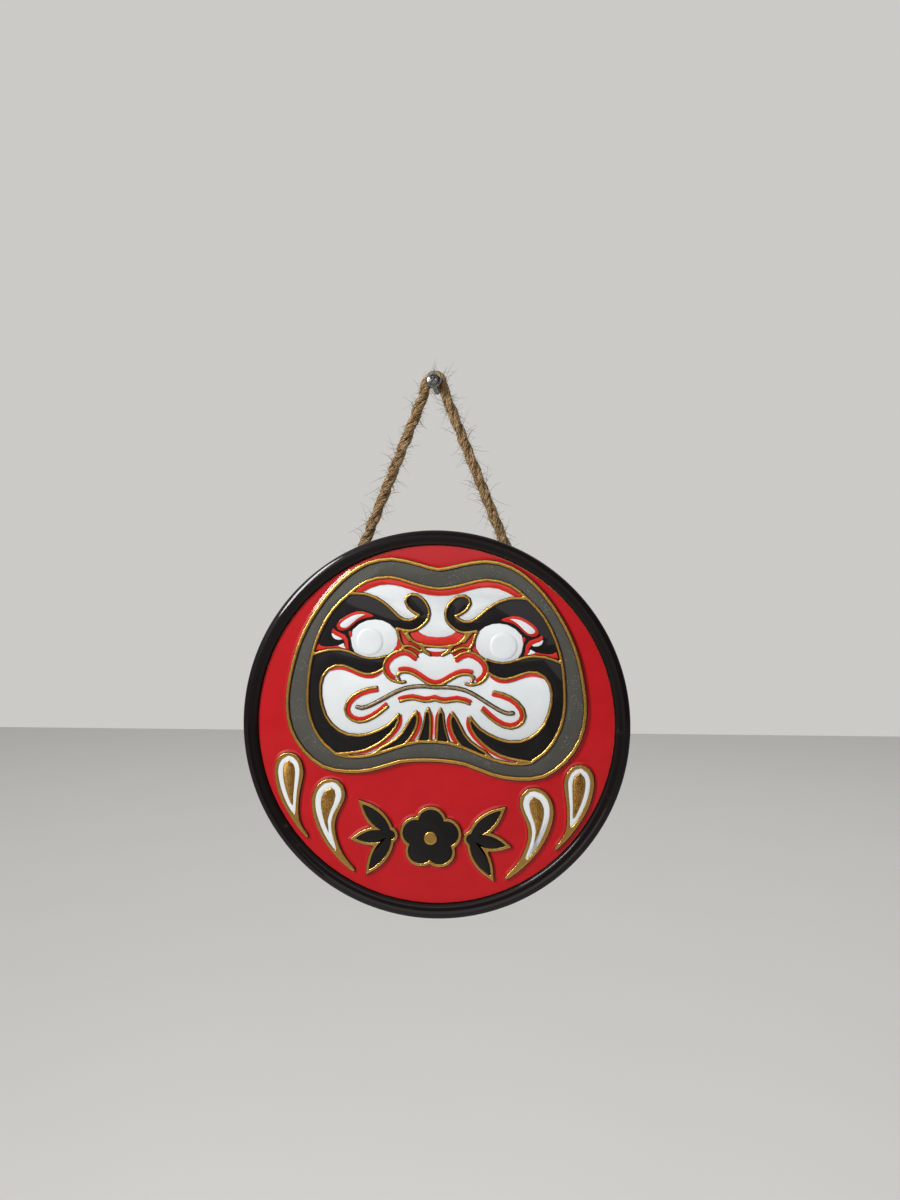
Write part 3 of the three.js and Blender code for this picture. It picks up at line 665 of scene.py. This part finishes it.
for node in ("forehead", "nose", "muzzle"):
    poured(node, whitePaint)
poured("hood_band", greyPaint)
poured("bridge", orangePaint)
poured("blossom_petals", blackPaint)
for node in ("forehead_stripe", "nostril_stripe", "mouth_stripe"):
    poured(node, orangePaint)
for side in ("left", "right"):
    for node in ("brow_", "cheek_band_", "beard_wedge_", "beard_tuft_", "sprig_leaves_"):
        poured(node + side, blackPaint)
    poured("eye_" + side, whitePaint, flatAbove=plaque["fillTop"] + 0.1)
    for node in ("outer_drop_enamel_", "inner_drop_enamel_"):
        poured(node + side, whitePaint)
    for node in ("nose_stripe_", "hook_stripe_", "lid_mark_", "corner_mark_"):
        poured(node + side, orangePaint)
print("fills poured")


# ---- small inlays and painted stripes, in millimetres on the left half of the face ----
def drawn(name, runs, closed=False, flat=False):
    # a curve object with one plain run of points for each list
    bpy.ops.object.select_all(action="DESELECT")
    bpy.ops.curve.primitive_nurbs_path_add(location=(0, 0, 0))
    curve = bpy.context.object
    curve.name = name
    curve.data.splines.clear()
    curve.data.dimensions = "2D" if flat else "3D"
    for run in runs:
        spline = curve.data.splines.new("POLY")
        spline.points.add(len(run) - 1)
        for point, place in zip(spline.points, run):
            point.co = (*place, 1) if len(place) == 3 else (*place, 0, 1)
        spline.use_cyclic_u = closed
    return curve


def softened(points, closed, rounds=2):
    # corners cut again and again until the line is smooth
    for _ in range(rounds):
        ends = list(zip(points, points[1:])) + ([(points[-1], points[0])] if closed else [])
        cut = []
        for (ax, ay), (bx, by) in ends:
            cut.append((ax * 0.75 + bx * 0.25, ay * 0.75 + by * 0.25))
            cut.append((ax * 0.25 + bx * 0.75, ay * 0.25 + by * 0.75))
        points = cut if closed else [points[0]] + cut[1:-1] + [points[-1]]
    return points


def ribbon(points, width):
    # the outline of a painted stripe along the points, narrowing over its first and last sixth
    points = softened(points, False)
    narrowest, taper = 0.35, 4
    left, right = [], []
    for i, (x, y) in enumerate(points):
        ahead, behind = points[min(i + 1, len(points) - 1)], points[max(i - 1, 0)]
        along = Vector((ahead[0] - behind[0], ahead[1] - behind[1])).normalized()
        share = i / (len(points) - 1)
        half = width / 2 * min(1, narrowest + taper * share, narrowest + taper * (1 - share))
        left.append((x - along.y * half, y + along.x * half))
        right.append((x + along.y * half, y - along.x * half))
    return left + right[::-1]


def inlay(name, outline, finish, bottom, top, edge=0.08):
    for side, sign in (("left", 1), ("right", -1)):
        points = [(sign * x, y) for x, y in outline][::sign]
        if side == "right" and max(x for x, y in outline) > 0:
            continue                                   # a piece across the middle is made once
        shape = drawn(f"{name}_{side}", [points], closed=True, flat=True)
        shape.data.fill_mode = "BOTH"
        shape.data.extrude = (top - bottom) / 2 - edge
        shape.data.bevel_depth = edge
        shape.data.bevel_resolution = 1
        shape.data.offset = -edge
        piece = solidOf(shape)
        for vertex in piece.data.vertices:
            vertex.co = onFace(vertex.co.x, vertex.co.y, (top + bottom) / 2 + vertex.co.z)
        only(piece)
        bpy.ops.object.mode_set(mode="EDIT")
        bpy.ops.mesh.select_all(action="SELECT")
        bpy.ops.mesh.remove_doubles(threshold=2e-6)
        bpy.ops.mesh.normals_make_consistent(inside=False)
        bpy.ops.object.mode_set(mode="OBJECT")
        bpy.ops.object.shade_smooth_by_angle(angle=math.radians(50))
        painted(piece, finish)


fillTop, markTop = plaque["fillTop"] + 0.1, plaque["markTop"]
inlay("forehead_tip", [
    (-44.4, 66.9), (-43.2, 67.8), (-41.2, 68.8), (-39, 69), (-38.4, 67.8), (-39.6, 67), (-42, 66.9),
], orangePaint, fillTop, markTop)
inlay("lid_inlay", softened([
    (-37, 55.4), (-40, 55.6), (-44, 54.6), (-48, 52.1), (-50.3, 50.1), (-50.2, 48.7), (-48, 48), (-46, 48.8),
    (-43.5, 51.2), (-41, 53.4), (-38.5, 54.9),
], True), whitePaint, fillTop, markTop + 0.25)
inlay("corner_inlay", softened([
    (-54.6, 45.3), (-54.3, 43.5), (-52.6, 42), (-50, 41.8), (-48.6, 42.4), (-50.5, 43.3), (-53.5, 44.9),
], True), whitePaint, fillTop, markTop)
inlay("corner_wedge", softened([
    (-51.2, 38.8), (-49.6, 39.5), (-48, 40.4), (-47.8, 38.6), (-46.4, 37.3), (-49, 37.8),
], True), whitePaint, fillTop, markTop + 0.15)
inlay("corner_spot", softened([
    (-45.9, 45.7), (-44.2, 46.9), (-43.9, 44.2), (-44.9, 43.4),
], True), orangePaint, fillTop, markTop)
inlay("cheek_stripe", ribbon([
    (-57.3, 24.3), (-55.5, 26.1), (-51.8, 27.3), (-48, 27.3), (-44, 26), (-40, 24.3), (-36.4, 23.3),
    (-33, 23.4), (-29.6, 24.6), (-27.9, 25.7),
], 1.7), orangePaint, fillTop, markTop)
inlay("lock_stripe", ribbon([
    (-17.1, 4.6), (-16.9, 1.2), (-18.3, -2.4), (-21.2, -6.3), (-25, -9.7), (-29.2, -12.6), (-34, -15),
    (-39, -16.5), (-45, -17.2),
], 1.7), orangePaint, fillTop, markTop)
inlay("wedge_stripe", ribbon([
    (-7.9, 6.2), (-7.2, 3), (-7.4, -0.6), (-8.8, -4.6), (-10.8, -8.1), (-12.6, -9.6),
], 1.8), orangePaint, fillTop, markTop)
inlay("tuft_stripe", ribbon([
    (-1.7, 6.8), (-0.95, 4), (-0.75, 0), (-0.75, -4), (-0.8, -7.8),
], 0.9), orangePaint, fillTop, markTop)
inlay("bridge_lens", softened([
    (-6.2, 38.9), (-3, 39.1), (0, 39.2), (3, 39.1), (6.2, 38.9), (3.4, 37.7), (0, 37.3), (-3.4, 37.7),
], True), whitePaint, fillTop, markTop)
print("inlays laid")


# ---- turned pieces: a profile of (radius, height) spun round the plaque's own axis or another ----
def turnedPiece(name, profile, middle, steps):
    # middle is the axis in the frame; heights run towards the viewer
    start = Vector((middle[0] + profile[0][0] * mm, middle[1] - profile[0][1] * mm, middle[2]))
    bpy.ops.object.select_all(action="DESELECT")
    bpy.ops.mesh.primitive_plane_add(size=mm, location=(0, 0, 0))
    piece = bpy.context.object
    piece.name = name
    bpy.ops.object.mode_set(mode="EDIT")
    bpy.ops.mesh.merge(type="CENTER")
    bpy.ops.transform.translate(value=start)
    for before, after in zip(profile, profile[1:]):
        step = ((after[0] - before[0]) * mm, -(after[1] - before[1]) * mm, 0)
        bpy.ops.mesh.extrude_region_move(TRANSFORM_OT_translate={"value": step})
    bpy.ops.mesh.select_all(action="SELECT")
    bpy.ops.mesh.spin(steps=steps, angle=2 * math.pi, center=middle, axis=(0, 1, 0))
    bpy.ops.mesh.select_all(action="SELECT")
    bpy.ops.mesh.remove_doubles(threshold=2e-6)
    bpy.ops.mesh.normals_make_consistent(inside=False)
    bpy.ops.object.mode_set(mode="OBJECT")
    bpy.ops.object.shade_smooth_by_angle(angle=math.radians(35))
    return piece


rimShape = {
    "steps": 240,
    "girth": 0.1,
    "profile": [
        (96.3, 0.3), (96.6, 0), (98.7, 0), (99.3, 0.2), (99.8, 0.7), (100, 1.3), (100, 10), (99.9, 11.2),
        (99.6, 11.9), (99.2, 12.2), (98.3, 12.55), (97.5, 12.86), (97.1, 12.95), (96.9, 12.86), (96.4, 12.64),
        (95.95, 12.44), (95.6, 12.36), (94.6, 12.3), (93.6, 12.1), (92.9, 11.7), (92.5, 11), (92.4, 10.2),
        (92.4, 9.2), (96.3, 9.2), (96.3, 0.3),
    ],
}


def unrolled(piece, middle, girth):
    # a map that runs round the ring and across its profile
    layer = piece.data.uv_layers.new(name="round")
    for polygon in piece.data.polygons:
        for corner in polygon.loop_indices:
            point = piece.data.vertices[piece.data.loops[corner].vertex_index].co
            x, z = point.x - middle[0], point.z - middle[2]
            around = math.atan2(z, x) / (2 * math.pi)
            centre = polygon.center - Vector(middle)
            facing = math.atan2(centre.z, centre.x) / (2 * math.pi)
            if facing - around > 0.5:
                around += 1
            if around - facing > 0.5:
                around -= 1
            layer.data[corner].uv = (around, math.hypot(x, z) / girth - point.y / girth)


ringMiddle = (plaque["middle"][0], plaque["back"], plaque["middle"][1])
eyeDisc = {
    "middle": (34.6, 41.5),
    "steps": 96,
    "profile": [
        (0, 11.92), (4, 11.91), (5.6, 11.86), (6.2, 11.78), (6.6, 11.64), (7, 11.48), (7.25, 11.3),
        (7.3, 11.1), (0, 11.1),
    ],
}
for side, sign in (("left", -1), ("right", 1)):
    x, y = eyeDisc["middle"]
    disc = turnedPiece("eye_disc_" + side, eyeDisc["profile"], onFace(sign * x, y, 0), eyeDisc["steps"])
    painted(disc, whitePaint)
rim = turnedPiece("lacquered_rim", rimShape["profile"], ringMiddle, rimShape["steps"])
unrolled(rim, ringMiddle, rimShape["girth"])
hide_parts("rim")
painted(rim, rimPaint)
print("rim turned", triangles(rim))


# ---- wall screw, saddle screws and wall pads ----
screw = {
    "steps": 64,
    "profile": [
        (0, -18), (0.2, -17.9), (1.3, -14.6), (1.35, -0.6), (1.5, 0), (1.5, 9), (3.9, 9), (4.15, 9.15),
        (4.2, 9.5), (4.2, 10), (4.08, 10.6), (3.75, 11.1), (3.2, 11.5), (2.4, 11.8), (1.3, 11.95), (0, 12),
    ],
    "thread": {
        "pitch": 1.7, "start": -16.5, "end": -0.8, "full": -14.2, "tip": 0.5, "reach": 1.4, "ridge": 0.5,
        "steps": 20,
    },
    "recess": {"width": 0.95, "reach": 2.3, "depth": 1.7},
}
saddleScrew = {
    "steps": 40,
    "profile": [
        (0, 0), (1.1, 0.06), (2, 0.24), (2.7, 0.6), (3.1, 1.1), (3.2, 1.45), (3.1, 1.6), (1.4, 1.62),
        (1.4, 8), (0.2, 9.3), (0, 9.3),
    ],
    "recess": {"width": 0.7, "reach": 1.7, "depth": 0.9},
}
pad = {
    "steps": 64,
    "profile": [
        (0, 0), (3.9, 0), (4.6, 0.1), (5.2, 0.4), (5.6, 0.9), (6, 1.8), (6.3, 2.8), (6.4, 3.8), (6.4, 6.7),
        (6.2, 6.93), (0, 6.93),
    ],
}


def crossCut(piece, recess, middle, facing, lean):
    # a driver's cross, sunk into the head and narrower at its foot
    foot = Vector((0.55, 1, 0.55))
    for turned in (lean, lean + math.pi / 2):
        bpy.ops.object.select_all(action="DESELECT")
        bpy.ops.mesh.primitive_cube_add(size=1, location=middle)
        arm = bpy.context.object
        arm.scale = (2 * recess["reach"] * mm, 2 * recess["depth"] * mm, recess["width"] * mm)
        arm.rotation_euler = (0, turned, 0)
        bpy.ops.object.transform_apply(location=True, rotation=True, scale=True)
        for vertex in arm.data.vertices:
            if (vertex.co.y - middle[1]) * facing < 0:
                vertex.co = Vector(middle) + (vertex.co - Vector(middle)) * foot
        applied(piece, "BOOLEAN", object=arm, operation="DIFFERENCE", solver="EXACT")
        bpy.data.objects.remove(arm)
    only(piece)
    bpy.ops.object.shade_smooth_by_angle(angle=math.radians(30))


def threadOf(thread):
    # a ridge that winds up from the tip and fades in and out at its ends
    run = []
    turns = (thread["end"] - thread["start"]) / thread["pitch"]
    for i in range(round(turns * thread["steps"]) + 1):
        height = thread["start"] + i * thread["pitch"] / thread["steps"]
        grown = min(1, (height - thread["start"]) / (thread["full"] - thread["start"]))
        reach = thread["tip"] + (thread["reach"] - thread["tip"]) * grown
        a = 2 * math.pi * i / thread["steps"]
        run.append((reach * mm * math.cos(a), -height * mm, reach * mm * math.sin(a)))
    ridge = drawn("screw_thread", [run])
    ridge.data.bevel_depth = thread["ridge"] * mm
    ridge.data.bevel_resolution = 0
    ridge.data.use_fill_caps = True
    for i, point in enumerate(ridge.data.splines[0].points):
        point.radius = min(1, 0.15 + i / 25, 0.15 + (len(run) - 1 - i) / 12)
    return painted(solidOf(ridge), screwSteel, "screw")


head = turnedPiece("pan_screw", screw["profile"], (0, 0, 0), screw["steps"])
crossCut(head, screw["recess"], (0, -screw["profile"][-1][1] * mm, 0), -1, 0.7)
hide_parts("wall_screw")
painted(head, screwSteel, "screw")
threadOf(screw["thread"])


def backOf(node):
    # the middle of a node's rear end
    low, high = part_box(node)
    return (low[0] + high[0]) / 2, high[1], (low[2] + high[2]) / 2


for side, lean in (("left", 0.3), ("right", 1.1)):
    middle = backOf("saddle_screw_" + side)
    piece = turnedPiece("small_screw_" + side, saddleScrew["profile"], middle, saddleScrew["steps"])
    crossCut(piece, saddleScrew["recess"], middle, 1, lean)
    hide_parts("saddle_screw_" + side)
    painted(piece, saddleSteel)
    piece = turnedPiece("rubber_pad_" + side, pad["profile"], backOf("wall_pad_" + side), pad["steps"])
    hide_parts("wall_pad_" + side)
    painted(piece, rubber)
print("screws and pads turned")


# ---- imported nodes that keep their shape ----
for node, finish in {
    "red_field": redPaint,
    "board": wood,
    "rope_saddle_left": saddleSteel,
    "rope_saddle_right": saddleSteel,
}.items():
    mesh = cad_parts[node].data
    mesh.materials.clear()
    mesh.materials.append(finish.material)


# ---- rope ----
# the route repeats the frame's: up the left leg, over the screw and down the right leg
rope = {
    "radius": 0.0029, "bend": 0.00455, "y": -0.00395, "legTop": -0.00305, "spread": 47.3, "shift": -2.8,
    "height": 69, "tail": 0.011, "lay": 0.033, "step": 0.0006, "smoothing": 30, "archSteps": 24,
}


def straight(start, end, step):
    count = max(1, round((end - start).length / step))
    return [start.lerp(end, i / count) for i in range(count)]


def ropeRoute():
    tops = [Vector((side * rope["bend"], rope["y"], rope["legTop"])) for side in (-1, 1)]
    held = [onFace(rope["shift"] + side * rope["spread"], rope["height"], 0) for side in (-1, 1)]
    ends = []
    for top, hold in zip(tops, held):
        hold.y = rope["y"]
        ends.append(hold + (hold - top).normalized() * rope["tail"])
    arch = [
        Vector((-rope["bend"] * math.cos(a), rope["y"], rope["bend"] * math.sin(a)))
        for a in [math.pi * i / rope["archSteps"] for i in range(rope["archSteps"] + 1)]
    ]
    route = straight(ends[0], tops[0], rope["step"]) + straight(tops[0], arch[0], rope["step"]) + arch
    route += straight(arch[-1], tops[1], rope["step"])[1:] + straight(tops[1], ends[1], rope["step"])
    route.append(ends[1])
    for _ in range(rope["smoothing"]):
        inner = [(a + 2 * b + c) / 4 for a, b, c in zip(route, route[1:], route[2:])]
        route = [route[0]] + inner + [route[-1]]
    return evened(route, rope["step"])


def evened(route, step):
    # the same line with points a step apart
    points, left = [route[0]], step
    for a, b in zip(route, route[1:]):
        span, done = (b - a).length, 0
        while span - done >= left:
            done += left
            points.append(a.lerp(b, done / span))
            left = step
        left -= span - done
    return points


def lengthOf(route):
    return sum((b - a).length for a, b in zip(route, route[1:]))


def strandProfile(radius):
    # three round strands side by side, seen from the end; out and girth are shares of the rope's radius
    count, out, girth = 48, 0.43, 0.57
    points = []
    for i in range(count):
        a = 2 * math.pi * i / count
        lobe = (a + math.pi / 3) % (2 * math.pi / 3) - math.pi / 3
        reach = out * math.cos(lobe) + math.sqrt(girth ** 2 - (out * math.sin(lobe)) ** 2)
        points.append((radius * reach * math.cos(a), radius * reach * math.sin(a)))
    return points


def frayed(piece):
    # yarns stand out unevenly along the strands
    for size, strength in ((0.0012, 0.00015), (0.0032, 0.0004)):
        lumps = bpy.data.textures.new("lumps", "CLOUDS")
        lumps.noise_scale = size
        applied(piece, "DISPLACE", texture=lumps, texture_coords="LOCAL", strength=strength, mid_level=0.5)


route = ropeRoute()
section = drawn("rope_section", [strandProfile(rope["radius"])], closed=True, flat=True)
cord = drawn("jute_rope", [route])
cord.data.bevel_mode = "OBJECT"
cord.data.bevel_object = section
cord.data.use_fill_caps = True
travelled = 0
for point, before, here in zip(cord.data.splines[0].points, [route[0]] + route, route):
    travelled += (here - before).length
    point.tilt = 2 * math.pi * travelled / rope["lay"]
    point.radius = 1 + 0.035 * math.sin(travelled * 410) + 0.02 * math.sin(travelled * 1130 + 1)
cord = solidOf(cord)
bpy.data.objects.remove(section)
frayed(cord)
only(cord)
bpy.ops.object.shade_smooth()
print("rope laid", triangles(cord), "length", round(lengthOf(route), 4))


fibre = {
    "seed": 7, "count": 1300, "thickness": 0.000075, "root": 0.8, "thinning": (1.2, 1, 0.9, 0.7, 0.35),
    "lengths": (0.0012, 0.0014, 0.0018, 0.0018, 0.0025, 0.0025, 0.0035, 0.005, 0.0075, 0.01),
}


def looseFibres():
    # hairs that stand off the rope, kept out of the board and out of the wall
    chance = random.Random(fibre["seed"])
    boardTop, clear, wallClear = -0.07, 0.0002, -0.0003
    runs = []
    for _ in range(fibre["count"]):
        i = chance.randrange(4, len(route) - 5)
        along = (route[i + 1] - route[i]).normalized() * chance.choice((-1, 1))
        side = Vector((0, 1, 0)).cross(along).normalized()
        angle = chance.uniform(0, 2 * math.pi)
        out = side * math.cos(angle) + Vector((0, 1, 0)) * math.sin(angle)
        length = chance.choice(fibre["lengths"])
        curl = side.cross(out) * chance.uniform(-0.7, 0.7) + along * chance.uniform(0.3, 1.4)
        root = route[i] + out * rope["radius"] * fibre["root"]
        run = []
        for k in range(5):
            t = k / 4
            bend = out * (0.3 + 0.5 * t) + along * 0.7 * (1 - t) + curl * t * 0.7
            point = root + bend * length * t
            if point.z < boardTop:
                point.y = max(point.y, plaque["back"] + clear)
            point.y = min(point.y, wallClear)
            run.append(tuple(point))
        runs.append(run)
    hairs = drawn("rope_fibres", runs)
    hairs.data.bevel_depth = fibre["thickness"]
    hairs.data.bevel_resolution = 0
    for spline in hairs.data.splines:
        for point, width in zip(spline.points, fibre["thinning"]):
            point.radius = width
    return solidOf(hairs)


twine = {"turns": 9, "steps": 16, "from": 0.0008, "run": 0.0036, "reach": 0.00278, "thickness": 0.00022}


def whipped(name, end, along):
    # waxed twine wound round the rope's end
    side = Vector((0, 1, 0)).cross(along)
    count = twine["turns"] * twine["steps"]
    run = []
    for i in range(count + 1):
        a = 2 * math.pi * i / twine["steps"]
        run.append(tuple(
            end + along * (twine["from"] + twine["run"] * i / count)
            + (side * math.cos(a) + Vector((0, 1, 0)) * math.sin(a)) * twine["reach"]
        ))
    winding = drawn(name, [run])
    winding.data.bevel_depth = twine["thickness"]
    winding.data.bevel_resolution = 1
    winding.data.use_fill_caps = True
    return painted(solidOf(winding), waxedTwine)


whipped("whipping_left", route[0], (route[12] - route[0]).normalized())
whipped("whipping_right", route[-1], (route[-13] - route[-1]).normalized())
hairs = looseFibres()
for piece in (cord, hairs):
    piece.data.materials.clear()
    piece.data.materials.append(jute.material)
    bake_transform(piece)
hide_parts("rope_loop", "rope_leg_left", "rope_leg_right")
lengthOf(route)
print("loose fibres", triangles(hairs))


# ---- floor, light and air ----
stage = {"floor": -1.1, "reach": 12}
bpy.ops.object.select_all(action="DESELECT")
bpy.ops.mesh.primitive_plane_add(size=stage["reach"], location=(0, 0, stage["floor"]))
floor = bpy.context.object
floor.name = "floor"
paleFloor = Finish("paleFloor", Specular_IOR_Level=0.2)
cloud = paleFloor.noise(400, detail=2)
paleFloor.feed(Base_Color=paleFloor.blend(cloud, (0.8, 0.79, 0.77), (0.83, 0.82, 0.8)))
floor.data.materials.append(paleFloor.material)


def softbox(name, place, aim, size, power):
    bpy.ops.object.light_add(type="AREA", location=place)
    lamp = bpy.context.object
    lamp.name = name
    lamp.rotation_euler = (Vector(aim) - Vector(place)).to_track_quat("-Z", "Y").to_euler()
    lamp.data.shape = "RECTANGLE"
    lamp.data.size, lamp.data.size_y = size
    lamp.data.energy = power


middle = onFace(0, 0, 10)
softbox("window", (-0.66, -0.62, 0.34), middle, size=(0.16, 0.4), power=10)
softbox("room", (-0.3, -1.5, 0.35), middle, size=(1.5, 0.8), power=5)
softbox("overhead", (0, 1.6, 2.6), (0, 1.6, stage["floor"]), size=(7, 7), power=78)

air = bpy.data.worlds.new("air")
air.use_nodes = True
bpy.context.scene.world = air
toward = air.node_tree.nodes.new("ShaderNodeTexCoord").outputs["Generated"]
split = air.node_tree.nodes.new("ShaderNodeSeparateXYZ")
air.node_tree.links.new(toward, split.inputs["Vector"])
facing = Field(air.node_tree, split.outputs["Y"])
brightness = facing.between(-0.5, 0.35) * 0.85 + 0.15   # the room is dimmer on the viewer's side
air.node_tree.links.new(brightness.socket, air.node_tree.nodes["Background"].inputs["Strength"])
air.node_tree.nodes["Background"].inputs["Color"].default_value = (0.6, 0.592, 0.57, 1)
bpy.context.scene.view_settings.view_transform = "Standard"
